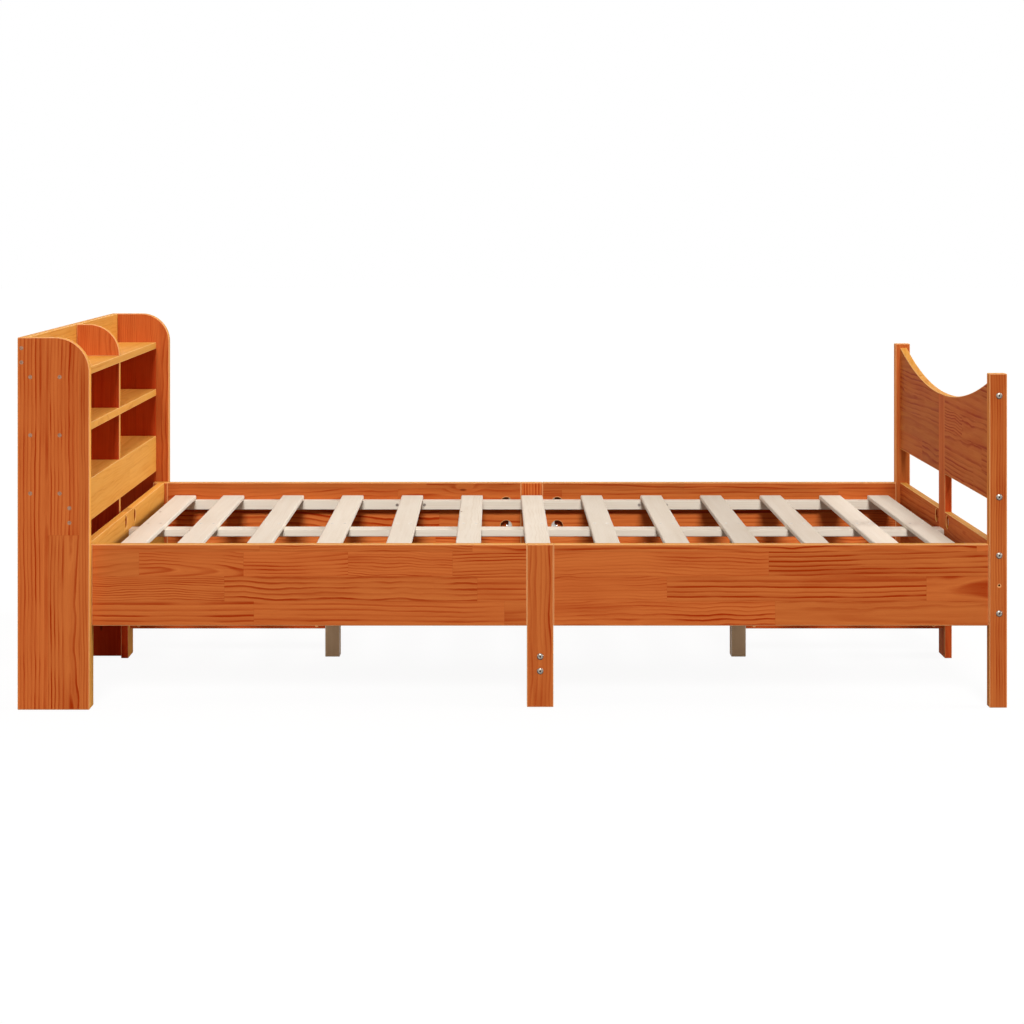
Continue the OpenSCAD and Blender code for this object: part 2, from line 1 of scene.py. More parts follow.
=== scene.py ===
import bpy
import bmesh
import math
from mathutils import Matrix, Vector


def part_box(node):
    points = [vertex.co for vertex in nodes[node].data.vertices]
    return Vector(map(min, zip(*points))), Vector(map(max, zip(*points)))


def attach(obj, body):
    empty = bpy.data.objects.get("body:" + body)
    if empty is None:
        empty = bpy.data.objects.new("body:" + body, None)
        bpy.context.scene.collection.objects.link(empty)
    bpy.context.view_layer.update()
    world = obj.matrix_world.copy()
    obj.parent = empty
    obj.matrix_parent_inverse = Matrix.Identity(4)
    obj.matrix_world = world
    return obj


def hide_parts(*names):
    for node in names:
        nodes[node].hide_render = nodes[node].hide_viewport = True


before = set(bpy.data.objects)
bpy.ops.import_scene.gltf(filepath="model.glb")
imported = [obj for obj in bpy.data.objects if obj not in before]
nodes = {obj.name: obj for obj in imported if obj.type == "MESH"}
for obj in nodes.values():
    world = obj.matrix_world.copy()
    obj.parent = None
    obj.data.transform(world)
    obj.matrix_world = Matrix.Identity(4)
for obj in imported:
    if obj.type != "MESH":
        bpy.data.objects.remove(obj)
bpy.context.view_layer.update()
print("frame loaded:", len(nodes), "nodes")


# small helpers for shader trees
def addNode(tree, kind, inputs=None, **settings):
    node = tree.nodes.new(kind)
    for name, value in settings.items():
        setattr(node, name, value)
    for key, value in (inputs or {}).items():
        if isinstance(value, bpy.types.NodeSocket):
            tree.links.new(value, node.inputs[key])
        else:
            node.inputs[key].default_value = value
    return node


def calc(tree, operation, first, second=0.0, third=0.0, clamp=False):
    node = addNode(tree, "ShaderNodeMath", {0: first, 1: second, 2: third},
                   operation=operation, use_clamp=clamp)
    return node.outputs[0]


# a range is its least value and what an amount of one adds to that
def inRange(tree, amount, limits):
    return calc(tree, "MULTIPLY_ADD", amount, limits[1], limits[0])


# goes smoothly from low to high while the value goes from one limit to the other
def ease(tree, value, limits, low=0.0, high=1.0):
    node = addNode(tree, "ShaderNodeMapRange",
                   {"Value": value, "From Min": limits[0], "From Max": limits[1],
                    "To Min": low, "To Max": high}, interpolation_type="SMOOTHSTEP")
    return node.outputs["Result"]


def mixColour(tree, amount, first, second, blend="MIX"):
    node = addNode(tree, "ShaderNodeMix", {0: amount, 6: first, 7: second},
                   data_type="RGBA", blend_type=blend)
    return node.outputs[2]


def combine(tree, x, y, z):
    return addNode(tree, "ShaderNodeCombineXYZ", {0: x, 1: y, 2: z}).outputs[0]


def splitVector(tree, vector):
    return list(addNode(tree, "ShaderNodeSeparateXYZ", {0: vector}).outputs)


def splitColour(tree, colour):
    return list(addNode(tree, "ShaderNodeSeparateColor", {0: colour}).outputs)


def attribute(tree, name, output="Fac"):
    return addNode(tree, "ShaderNodeAttribute", attribute_name=name).outputs[output]


def chanceAt(tree, x, y, z):
    return addNode(tree, "ShaderNodeTexWhiteNoise", {"Vector": combine(tree, x, y, z)},
                   noise_dimensions="3D").outputs


def noiseAt(tree, position, detail=2.0, scale=1.0, roughness=0.5):
    node = addNode(tree, "ShaderNodeTexNoise",
                   {"Vector": position, "Scale": scale, "Detail": detail,
                    "Roughness": roughness}, noise_dimensions="3D")
    return node.outputs["Fac"]


def newGroup(name, inputs, outputs):
    tree = bpy.data.node_groups.new(name, "ShaderNodeTree")
    for label, kind, value in inputs:
        socket = tree.interface.new_socket(name=label, in_out="INPUT", socket_type=kind)
        if value is not None:
            socket.default_value = value
    for label in outputs:
        tree.interface.new_socket(name=label, in_out="OUTPUT", socket_type="NodeSocketFloat")
    start = tree.nodes.new("NodeGroupInput")
    end = tree.nodes.new("NodeGroupOutput")
    return tree, start.outputs, end.inputs


def newMaterial(name):
    material = bpy.data.materials.new(name)
    material.use_nodes = True
    material.node_tree.nodes.clear()
    return material, material.node_tree


def showSurface(tree, shader, kind="ShaderNodeOutputMaterial"):
    output = tree.nodes.new(kind)
    tree.links.new(shader.outputs[0], output.inputs["Surface"])


# how the pine grew and how its boards are glued up, in metres. Ranges are a least value and
# what chance adds; scales are along and across the fibres; limits are where a change starts
# and ends, on rings as a share of the ring
pineGrowth = {
    "boardRoom": 10.0, "rowSeed": 3.7, "secondSeed": 0.5,
    "staveLengthRange": (0.55, 0.90), "spacingRange": (0.60, 0.80), "boldRange": (0.40, 0.90),
    "lateWoodRange": (0.30, 0.70), "pithAcrossRange": (-0.11, 0.22),
    "pithBelowRange": (0.010, 0.055), "lean": 0.05,
    "knotScale": (2.6, 7.5), "knotsAbove": 0.94, "knotLimits": (0.012, 0.034),
    "swirlLimits": (0.0, 0.17), "swirl": 0.011,
    "staveShift": 7.0, "bendScale": (3.4, 7.0), "bend": 6.0, "rippleScale": (17.0, 34.0),
    "ringWarp": 0.4, "lateWoodStart": (0.42, 0.78), "lateWoodEnd": (0.84, 1.0),
    "earlyWoodEnd": (0.02, 0.20), "fadeScale": 2.3, "fadeLimits": (0.32, 0.62), "faintest": 0.30,
    "streakScale": (2.2, 52.0), "fibreScale": (16.0, 520.0), "fineness": 0.6,
    "fleckScale": (55.0, 480.0), "fleckLimits": (0.66, 0.80),
    "patchScale": (4.5, 19.0), "patchLimits": (0.50, 0.72), "seamLimits": (0.0001, 0.0007),
}


# sawn pine: each board is glued up from finger-jointed staves, each cut from its own log.
# "Grain" runs along the fibres in X, across the board in Y and through it in Z, in metres,
# and "Cut" is the staves' width, their length and the ring spacing
def buildPineGrain(growth):
    tree, given, result = newGroup(
        "pineGrain",
        [("Grain", "NodeSocketVector", None), ("Cut", "NodeSocketVector", None),
         ("Waviness", "NodeSocketFloat", 0.004)],
        ["Rings", "Streaks", "Fibre", "Stave Tone", "Seams", "Knots", "Flecks", "Patches", "Pale"])
    along, across, through = splitVector(tree, given["Grain"])
    staveWidth, staveLength, ringSpacing = splitVector(tree, given["Cut"])

    def scaled(scale, shift=0.0):
        return combine(tree, calc(tree, "MULTIPLY_ADD", along, scale[0], shift),
                       calc(tree, "MULTIPLY", across, scale[1]),
                       calc(tree, "MULTIPLY", through, scale[1]))

    # which stave this point is in
    board = calc(tree, "FLOOR", calc(tree, "DIVIDE", along, growth["boardRoom"]))
    rowPlace = calc(tree, "DIVIDE", across, staveWidth)
    row = calc(tree, "FLOOR", rowPlace)
    rowChance = chanceAt(tree, board, row, growth["rowSeed"])["Value"]
    rowLength = calc(tree, "MULTIPLY", staveLength,
                     inRange(tree, rowChance, growth["staveLengthRange"]))
    stavePlace = calc(tree, "ADD", calc(tree, "DIVIDE", along, rowLength), rowChance)
    column = calc(tree, "FLOOR", stavePlace)
    staveChance = chanceAt(tree, board, row, column)
    acrossChance, belowChance, leanChance = splitColour(tree, staveChance["Color"])
    secondRow = calc(tree, "ADD", row, growth["secondSeed"])
    spacingChance, boldChance, toneChance = splitColour(
        tree, chanceAt(tree, board, secondRow, column)["Color"])

    # a few small knots, which the rings flow round
    knotPlace = combine(tree, calc(tree, "MULTIPLY", along, growth["knotScale"][0]),
                        calc(tree, "MULTIPLY", across, growth["knotScale"][1]), 0.0)
    cells = addNode(tree, "ShaderNodeTexVoronoi", {"Vector": knotPlace, "Scale": 1.0},
                    voronoi_dimensions="2D").outputs
    cellChance = splitColour(tree, cells["Color"])[0]
    hasKnot = calc(tree, "GREATER_THAN", cellChance, growth["knotsAbove"])
    knot = ease(tree, cells["Distance"], growth["knotLimits"], 1.0, 0.0)
    swirl = ease(tree, cells["Distance"], growth["swirlLimits"], 1.0, 0.0)
    swirl = calc(tree, "MULTIPLY", swirl, hasKnot)
    tree.links.new(calc(tree, "MULTIPLY", knot, hasKnot), result["Knots"])

    # the pith lies beside and below the stave, and leans a little
    staveAlong = calc(tree, "SUBTRACT", calc(tree, "FRACT", stavePlace), 0.5)
    staveAcross = calc(tree, "SUBTRACT", calc(tree, "FRACT", rowPlace), 0.5)
    staveAcross = calc(tree, "MULTIPLY", staveAcross, staveWidth)
    lean = calc(tree, "MULTIPLY", calc(tree, "SUBTRACT", leanChance, 0.5), growth["lean"])
    pithAcross = inRange(tree, acrossChance, growth["pithAcrossRange"])
    pithBelow = inRange(tree, belowChance, growth["pithBelowRange"])
    pithBelow = calc(tree, "MULTIPLY_ADD", lean, staveAlong, pithBelow)

    # growth rings round the pith, bent by slow and quick waves and by the knots
    staveShift = calc(tree, "MULTIPLY", staveChance["Value"], growth["staveShift"])
    bendPlace = scaled(growth["bendScale"], staveShift)
    bend = calc(tree, "SUBTRACT", noiseAt(tree, bendPlace), 0.5)
    ripple = noiseAt(tree, scaled(growth["rippleScale"], staveShift))
    ripple = calc(tree, "SUBTRACT", ripple, 0.5)
    warp = calc(tree, "MULTIPLY", bend,
                calc(tree, "MULTIPLY", given["Waviness"], growth["bend"]))
    warp = calc(tree, "MULTIPLY_ADD", ripple, given["Waviness"], warp)
    warp = calc(tree, "MULTIPLY_ADD", swirl, growth["swirl"], warp)
    side = calc(tree, "ADD", calc(tree, "ADD", staveAcross, pithAcross), warp)
    depth = calc(tree, "ADD", through, pithBelow)
    radius = calc(tree, "SQRT", calc(tree, "ADD", calc(tree, "MULTIPLY", side, side),
                                     calc(tree, "MULTIPLY", depth, depth)))
    radius = calc(tree, "MULTIPLY_ADD", warp, growth["ringWarp"], radius)
    spacing = calc(tree, "MULTIPLY", ringSpacing,
                   inRange(tree, spacingChance, growth["spacingRange"]))
    ringPlace = calc(tree, "DIVIDE", radius, spacing)
    ringPhase = calc(tree, "FRACT", ringPlace)
    ringChance = chanceAt(tree, calc(tree, "FLOOR", ringPlace), row, column)["Value"]

    # dark late wood ends each ring, and pale early wood starts the next
    lateWood = calc(tree, "MULTIPLY", ease(tree, ringPhase, growth["lateWoodStart"]),
                    ease(tree, ringPhase, growth["lateWoodEnd"], 1.0, 0.0))
    lateWood = calc(tree, "MULTIPLY", lateWood,
                    inRange(tree, ringChance, growth["lateWoodRange"]))
    earlyWood = ease(tree, ringPhase, growth["earlyWoodEnd"], 1.0, 0.0)
    fade = ease(tree, noiseAt(tree, bendPlace, detail=1.0, scale=growth["fadeScale"]),
                growth["fadeLimits"], growth["faintest"], 1.0)
    strength = calc(tree, "MULTIPLY", fade, inRange(tree, boldChance, growth["boldRange"]))
    tree.links.new(calc(tree, "MULTIPLY", lateWood, strength), result["Rings"])
    tree.links.new(calc(tree, "MULTIPLY", earlyWood, strength), result["Pale"])

    # long streaks, fine fibres, short dark flecks, soft patches and the stave's own tone
    streaks = noiseAt(tree, scaled(growth["streakScale"], staveShift), detail=3.0,
                      roughness=growth["fineness"])
    fibre = noiseAt(tree, scaled(growth["fibreScale"]), roughness=growth["fineness"])
    flecks = noiseAt(tree, scaled(growth["fleckScale"]), detail=1.0)
    patches = noiseAt(tree, scaled(growth["patchScale"], staveShift), detail=1.5)
    tree.links.new(streaks, result["Streaks"])
    tree.links.new(fibre, result["Fibre"])
    tree.links.new(ease(tree, flecks, growth["fleckLimits"]), result["Flecks"])
    tree.links.new(ease(tree, patches, growth["patchLimits"]), result["Patches"])
    tree.links.new(toneChance, result["Stave Tone"])

    # thin glue lines between the rows and at the staves' ends
    rowGap = calc(tree, "MULTIPLY", calc(tree, "PINGPONG", rowPlace, 0.5), staveWidth)
    endGap = calc(tree, "MULTIPLY", calc(tree, "PINGPONG", stavePlace, 0.5), rowLength)
    nearest = calc(tree, "MINIMUM", rowGap, endGap)
    tree.links.new(ease(tree, nearest, growth["seamLimits"], 1.0, 0.0), result["Seams"])
    return tree


pineGrain = buildPineGrain(pineGrowth)
print("grain built")

# both finishes share how the grain shows in the surface
pineSurface = {
    "streakLimits": (0.35, 0.75), "knotCover": 0.75, "edgeCover": 0.85,
    "fibreRoughness": 0.16, "ringRoughness": -0.08, "ringHeight": 0.5, "seamHeight": -0.8,
    "bump": 0.30, "bumpDepth": 0.0003, "specular": 0.01,
}
waxedLook = {
    **pineSurface,
    "light": (0.547, 0.153, 0.0345, 1), "dark": (0.318, 0.029, 0.0022, 1),
    # the lit colours are painted light, the amber of faces lit from above and from the foot; the
    # edge colours are painted highlight on the rounded edges
    "lightLit": (0.680, 0.322, 0.065, 1), "darkLit": (0.545, 0.198, 0.021, 1),
    "edge": (0.740, 0.345, 0.140, 1), "edgeLit": (0.760, 0.420, 0.130, 1),
    "knot": (0.120, 0.016, 0.003, 1), "stainAndShade": (1.12, 0.36, 0.30, 1), "staveRed": 0.10,
    "base": 0.07, "rings": 0.98, "streaks": 0.32, "patches": 0.18, "pale": 0.16,
    "fibre": 0.32, "flecks": 0.18, "staveTone": 0.08, "seams": 0.14, "waviness": 0.0048,
    "roughness": 0.62, "thinLimits": (0.25, 0.9), "sidewaysLimits": (0.15, 0.5),
}
bareLook = {
    **pineSurface,
    "light": (0.772, 0.708, 0.606, 1), "dark": (0.665, 0.575, 0.455, 1),
    # the edge colour is painted highlight on the rounded edges, and the stain is only painted
    # shade, on the support legs
    "edge": (0.700, 0.635, 0.540, 1), "knot": (0.330, 0.200, 0.120, 1),
    "stainAndShade": (0.92, 0.70, 0.50, 1), "staveRed": 0.0,
    "base": 0.0, "rings": 0.50, "streaks": 0.36, "patches": 0.14, "pale": 0.06,
    "fibre": 0.22, "flecks": 0.30, "staveTone": 0.05, "seams": 0.0, "waviness": 0.0030,
    "roughness": 0.70,
}


# how dark the wood is at a point, from the grain
def grainDarkness(tree, grain, boldness, look):
    darkness = calc(tree, "MULTIPLY", grain["Rings"],
                    calc(tree, "MULTIPLY", boldness, look["rings"]))
    streaks = ease(tree, grain["Streaks"], look["streakLimits"])
    darkness = calc(tree, "MULTIPLY_ADD", streaks, look["streaks"], darkness)
    darkness = calc(tree, "MULTIPLY_ADD", grain["Patches"], look["patches"], darkness)
    darkness = calc(tree, "MULTIPLY_ADD", grain["Pale"], -look["pale"], darkness)
    darkness = calc(tree, "ADD", darkness, look["base"])
    darkness = calc(tree, "MULTIPLY_ADD", grain["Flecks"], look["flecks"], darkness)
    fibre = calc(tree, "SUBTRACT", grain["Fibre"], 0.5)
    return calc(tree, "MULTIPLY_ADD", fibre, look["fibre"], darkness, clamp=True)


# a wood finish; the boards carry their grain place, cut, tint and edges as attributes
def buildWood(name, look):
    material, tree = newMaterial(name)
    grain = addNode(tree, "ShaderNodeGroup",
                    {"Grain": attribute(tree, "grainPlace", "Vector"),
                     "Cut": attribute(tree, "boardCut", "Vector"),
                     "Waviness": look["waviness"]}, node_tree=pineGrain).outputs
    shade, red, boldness = splitVector(tree, attribute(tree, "boardTint", "Vector"))
    darkness = grainDarkness(tree, grain, boldness, look)
    colour = mixColour(tree, darkness, look["light"], look["dark"])
    # the red stain is partly the staves' own random tone and partly painted shade, the deeper red
    # of faces in shade
    redder = mixColour(tree, 1.0, colour, look["stainAndShade"], "MULTIPLY")
    stainAndShadeShare = calc(tree, "MULTIPLY_ADD", grain["Stave Tone"], look["staveRed"], red)
    colour = mixColour(tree, stainAndShadeShare, colour, redder)
    edgeColour = look["edge"]
    if "lightLit" in look:
        # painted light: upper faces and those towards the foot are painted a yellower amber, as if
        # lit from above and from the foot, and so are faces given their own share of it and the
        # edges that don't face sideways
        normal = addNode(tree, "ShaderNodeTexCoord").outputs["Normal"]
        footwards, sidewards, upwards = splitVector(tree, normal)
        thin = calc(tree, "MAXIMUM", ease(tree, footwards, look["thinLimits"]),
                    ease(tree, upwards, look["thinLimits"]))
        thin = calc(tree, "MAXIMUM", thin, attribute(tree, "thinWax"))
        thinColour = mixColour(tree, darkness, look["lightLit"], look["darkLit"])
        colour = mixColour(tree, thin, colour, thinColour)
        sideways = ease(tree, calc(tree, "ABSOLUTE", sidewards), look["sidewaysLimits"])
        edgeColour = mixColour(tree, sideways, look["edgeLit"], look["edge"])
    staveShade = calc(tree, "MULTIPLY_ADD", grain["Stave Tone"], look["staveTone"],
                      1.0 - look["staveTone"] / 2)
    # the tint's shade is partly a board's own tone and partly painted light or shade on some
    # boards and faces
    staveShade = calc(tree, "MULTIPLY", staveShade, shade)
    colour = mixColour(tree, 1.0, colour, combine(tree, staveShade, staveShade, staveShade),
                       "MULTIPLY")
    colour = mixColour(tree, calc(tree, "MULTIPLY", grain["Seams"], look["seams"]),
                       colour, look["knot"])
    colour = mixColour(tree, calc(tree, "MULTIPLY", grain["Knots"], look["knotCover"]),
                       colour, look["knot"])
    # painted highlight: rounded edges and hole rims are painted paler, as where light catches them
    edge = calc(tree, "MULTIPLY", attribute(tree, "edgeBand"), look["edgeCover"])
    colour = mixColour(tree, edge, colour, edgeColour)
    roughness = calc(tree, "MULTIPLY_ADD", grain["Fibre"], look["fibreRoughness"],
                     look["roughness"] - look["fibreRoughness"] / 2)
    roughness = calc(tree, "MULTIPLY_ADD", grain["Rings"], look["ringRoughness"], roughness)
    height = calc(tree, "MULTIPLY_ADD", grain["Rings"], look["ringHeight"], grain["Fibre"])
    height = calc(tree, "MULTIPLY_ADD", grain["Seams"], look["seamHeight"], height)
    bump = addNode(tree, "ShaderNodeBump", {"Strength": look["bump"],
                                            "Distance": look["bumpDepth"], "Height": height})
    shader = addNode(tree, "ShaderNodeBsdfPrincipled",
                     {"Base Color": colour, "Roughness": roughness, "Normal": bump.outputs[0],
                      "Specular IOR Level": look["specular"]})
    showSurface(tree, shader)
    return material


waxedPine = buildWood("waxedPine", waxedLook)
barePine = buildWood("barePine", bareLook)

# fixings: a clean and a dull metal colour, and a dark one for painted shade in the bolts' sockets
# and on their rims
metalSurface = {"cloudScale": 260.0, "cloudLimits": (0.35, 0.7), "cloudRoughness": 0.16,
                "scratchScale": 1900.0, "bump": 0.15, "bumpDepth": 0.0001}
brightLook = {**metalSurface, "colour": (0.78, 0.75, 0.70, 1), "dull": (0.56, 0.53, 0.49, 1),
              "rim": (0.10, 0.08, 0.07, 1), "roughness": 0.24}
boltLook = {**metalSurface, "colour": (0.40, 0.35, 0.30, 1), "dull": (0.22, 0.18, 0.15, 1),
            "rim": (0.055, 0.035, 0.025, 1), "roughness": 0.24}
# the screw heads are a warm brown metal
screwLook = {**metalSurface, "colour": (0.33, 0.18, 0.115, 1), "dull": (0.23, 0.115, 0.07, 1),
             "rim": (0.08, 0.04, 0.03, 1), "roughness": 0.42}


def buildMetal(name, look):
    material, tree = newMaterial(name)
    place = addNode(tree, "ShaderNodeTexCoord").outputs["Object"]
    cloud = noiseAt(tree, place, detail=3.0, scale=look["cloudScale"])
    scratch = noiseAt(tree, place, scale=look["scratchScale"])
    colour = mixColour(tree, ease(tree, cloud, look["cloudLimits"]), look["colour"],
                       look["dull"])
    # painted shade from the bolts' sockets and rims
    colour = mixColour(tree, attribute(tree, "paintedRimShade"), colour, look["rim"])
    roughness = calc(tree, "MULTIPLY_ADD", cloud, look["cloudRoughness"], look["roughness"])
    bump = addNode(tree, "ShaderNodeBump", {"Strength": look["bump"],
                                            "Distance": look["bumpDepth"], "Height": scratch})
    shader = addNode(tree, "ShaderNodeBsdfPrincipled",
                     {"Base Color": colour, "Roughness": roughness, "Metallic": 1.0,
                      "Normal": bump.outputs[0]})
    showSurface(tree, shader)
    return material


brightZinc = buildMetal("brightZinc", brightLook)
boltZinc = buildMetal("boltZinc", boltLook)
brownScrew = buildMetal("brownScrew", screwLook)
print("finishes built")

# the fixings that keep their CAD shapes
fixings = {"bookcase_screws": brownScrew, "ledger_screws": boltZinc,
           "slat_screws": boltZinc, "threaded_inserts": boltZinc, "tie_rods": brightZinc,
           "half_moon_washers": brightZinc, "rod_nuts": brightZinc}
for name, metal in fixings.items():
    nodes[name].data.materials.clear()
    nodes[name].data.materials.append(metal)

# lengths in metres: corners closer than weld are one, a corner closer than near to a face
# lies on it, and cutters start clear of the wood
weld = 0.000005
near = 0.0002
clear = 0.001
axisOf = {"x": 0, "y": 1, "z": 2}


def longestAxis(vector):
    return max(range(3), key=lambda axis: abs(vector[axis]))


# the lowest and highest corner of each separate solid in a CAD node
def solidBoxes(name):
    copy = bmesh.new()
    copy.from_mesh(nodes[name].data)
    bmesh.ops.remove_doubles(copy, verts=copy.verts, dist=weld)
    boxes, seen = [], set()
    for first in copy.verts:
        if first in seen:
            continue
        waiting, group = [first], []
        seen.add(first)
        while waiting:
            corner = waiting.pop()
            group.append(corner.co.copy())
            for line in corner.link_edges:
                other = line.other_vert(corner)
                if other not in seen:
                    seen.add(other)
                    waiting.append(other)
        boxes.append((Vector([min(p[axis] for p in group) for axis in range(3)]),
                      Vector([max(p[axis] for p in group) for axis in range(3)])))
    copy.free()
    return boxes


# a screw's head centre, its direction into the wood and its head radius
def screwHead(low, high, letter, way):
    axis = axisOf[letter]
    centre = (low + high) / 2
    centre[axis] = low[axis] if way > 0 else high[axis]
    inward = Vector((0, 0, 0))
    inward[axis] = way
    across = (axis + 1) % 3
    return centre, inward, (high[across] - low[across]) / 2


# bookcase screws come from outside, ledger screws from the bay, and the rest from above
screwHeads = [screwHead(low, high, "y", 1 if low.y < 0 else -1)
              for low, high in solidBoxes("bookcase_screws")]
screwHeads += [screwHead(low, high, "z", -1) for low, high in solidBoxes("slat_screws")]
for low, high in solidBoxes("ledger_screws"):
    if longestAxis(high - low) == axisOf["y"]:
        screwHeads.append(screwHead(low, high, "y", -1 if low.y < 0 else 1))
    else:
        screwHeads.append(screwHead(low, high, "z", -1))

# every pocket as a centre beside its leg and a direction into the wood, away from the bay
pocket = {"distance": 0.071, "radius": 0.016, "floor": 0.003, "rim": 0.0019, "steps": 48}
pocketMouths = []
for low, high in solidBoxes("tie_rods"):
    middle = (low + high) / 2
    rodAxis = longestAxis(high - low)
    inward = Vector((0, 0, 0))
    inward[1 - rodAxis] = 1 if middle[1 - rodAxis] > 0 else -1
    for way in (-1, 1):
        centre = middle.copy()
        centre[rodAxis] += way * pocket["distance"]
        pocketMouths.append((centre, inward))
print("screw heads:", len(screwHeads), "pockets:", len(pocketMouths))


# a finished bmesh becomes an object
def placeMesh(name, mesh):
    data = bpy.data.meshes.new(name)
    mesh.to_mesh(data)
    mesh.free()
    piece = bpy.data.objects.new(name, data)
    bpy.context.scene.collection.objects.link(piece)
    return piece


# a round plug, turned from (radius, depth) steps, which points into the wood from its mouth
def turnPlug(mesh, profile, mouth, inward, steps):
    side = Vector((0, 1, 0)) if longestAxis(inward) == axisOf["x"] else Vector((1, 0, 0))
    corners = [mesh.verts.new(mouth + inward * depth + side * radius)
               for radius, depth in profile]
    lines = [mesh.edges.new(pair) for pair in zip(corners, corners[1:])]
    bmesh.ops.spin(mesh, geom=corners + lines, cent=mouth, axis=inward, dvec=(0, 0, 0),
                   angle=2 * math.pi, steps=steps, use_merge=True, use_duplicate=False)


# the profile of a hole with straight walls
def plainHole(radius, depth):
    return [(0, -clear), (radius, -clear), (radius, depth), (0, depth)]


# the profile of a hole with a sloped rim, whose depth is a share of its width
rimShare = 0.7


def rimmedHole(hole, depth):
    wide = hole["radius"] + hole["rim"]
    return [(0, -clear), (wide, -clear), (wide, 0),
            (hole["radius"], hole["rim"] * rimShare), (hole["radius"], depth), (0, depth)]


# takes the plugs out of a piece. A face that slopes between these limits against its plug's
# axis is a rim, and comes out as a pale edge, painted highlight like the rounded edges
rimSlope = {"least": 0.5, "most": 0.9}


def cutPlugs(piece, plugs, wallBand=0.0):
    mesh = bmesh.new()
    band = mesh.faces.layers.float.new("edgeBand")
    for profile, mouth, inward, steps in plugs:
        made = set(mesh.faces)
        turnPlug(mesh, profile, mouth, inward, steps)
        for face in mesh.faces:
            if face not in made:
                face.normal_update()
                slope = abs(face.normal.dot(inward))
                sloped = rimSlope["least"] < slope < rimSlope["most"]
                face[band] = 1.0 if sloped else wallBand
    bmesh.ops.remove_doubles(mesh, verts=mesh.verts, dist=weld)
    bmesh.ops.recalc_face_normals(mesh, faces=mesh.faces)
    cutter = placeMesh("cutter", mesh)
    cut = piece.modifiers.new("cut", "BOOLEAN")
    cut.operation = "DIFFERENCE"
    cut.solver = "EXACT"
    cut.object = cutter
    bpy.context.view_layer.update()
    shaped = piece.evaluated_get(bpy.context.evaluated_depsgraph_get())
    finished = bpy.data.meshes.new_from_object(shaped)
    piece.modifiers.clear()
    spent = [piece.data, cutter.data]
    piece.data = finished
    bpy.data.objects.remove(cutter)
    for data in spent:
        bpy.data.meshes.remove(data)
    finished.name = piece.name


countersink = {"rim": 0.0002, "depth": 0.0028, "flush": 0.0003, "steps": 24}
spareHole = {"radius": 0.0024, "rim": 0.0024, "postDepth": 0.020, "stretcherDepth": 0.010,
             "stretcherInset": 0.022, "stretcherHeight": 0.0775, "steps": 32}


# the holes that are open in a board's faces: countersinks, pockets and spare pilot holes
def plugsFor(name, low, high):
    plugs = []
    for head, inward, radius in screwHeads:
        axis = longestAxis(inward)
        face = low[axis] if inward[axis] > 0 else high[axis]
        inside = all(low[i] - clear < head[i] < high[i] + clear for i in range(3))
        if inside and abs(head[axis] - face) < countersink["flush"]:
            sink = plainHole(radius + countersink["rim"], countersink["depth"])
            plugs.append((sink, head, inward, countersink["steps"]))
    for centre, inward in pocketMouths:
        if all(low[i] < centre[i] < high[i] for i in range(3)):
            axis = longestAxis(inward)
            mouth = centre.copy()
            mouth[axis] = low[axis] if inward[axis] > 0 else high[axis]
            depth = high[axis] - low[axis] - pocket["floor"]
            plugs.append((rimmedHole(pocket, depth), mouth, inward, pocket["steps"]))
    if name.startswith("footboard_post"):
        railLow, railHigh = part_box("footboard_rail_left")
        way = 1 if low.y < 0 else -1
        mouth = (railLow + railHigh) / 2
        mouth.y = low.y if way > 0 else high.y
        plugs.append((rimmedHole(spareHole, spareHole["postDepth"]), mouth,
                      Vector((0, way, 0)), spareHole["steps"]))
    if name.startswith("stretcher"):
        inset = spareHole["stretcherInset"]
        for holeX in (low.x + inset, high.x - inset):
            mouth = Vector((holeX, low.y, spareHole["stretcherHeight"]))
            plugs.append((rimmedHole(spareHole, spareHole["stretcherDepth"]), mouth,
                          Vector((0, 1, 0)), spareHole["steps"]))
    return plugs


# the steps that shape a board out of its block
def onLine(line, axis, value):
    return all(abs(corner.co[axis] - value) < near for corner in line.verts)


def roundEdges(mesh, edges, size, steps):
    return bmesh.ops.bevel(mesh, geom=edges, offset=size, offset_type="OFFSET", segments=steps,
                           profile=0.5, affect="EDGES", material=-1, clamp_overlap=True)


def sliceMesh(mesh, place, way):
    bmesh.ops.bisect_plane(mesh, geom=mesh.verts[:] + mesh.edges[:] + mesh.faces[:],
                           plane_co=place, plane_no=way)


# the top edge sags in an arc across the bed
def curveTop(mesh, high, arc):
    wide = [line for line in mesh.edges
            if abs(line.verts[0].co.y - line.verts[1].co.y) > clear]
    bmesh.ops.subdivide_edges(mesh, edges=wide, cuts=arc["cuts"])
    for corner in mesh.verts:
        if corner.co.z > high.z - near:
            corner.co.z = arc["dip"] + arc["radius"] - math.sqrt(
                arc["radius"] ** 2 - corner.co.y ** 2)


# the block under the bookcase steps round the apron
def cutNotch(mesh, notch):
    sliceMesh(mesh, (0, 0, notch["z"]), (0, 0, 1))
    sliceMesh(mesh, (notch["x"], 0, 0), (1, 0, 0))
    removed = [face for face in mesh.faces
               if face.calc_center_median().x > notch["x"] - weld
               and face.calc_center_median().z > notch["z"] - weld]
    bmesh.ops.delete(mesh, geom=removed, context="FACES")
    rim = [line for line in mesh.edges if line.is_boundary]
    bmesh.ops.edgenet_fill(mesh, edges=rim)
    bmesh.ops.recalc_face_normals(mesh, faces=mesh.faces)


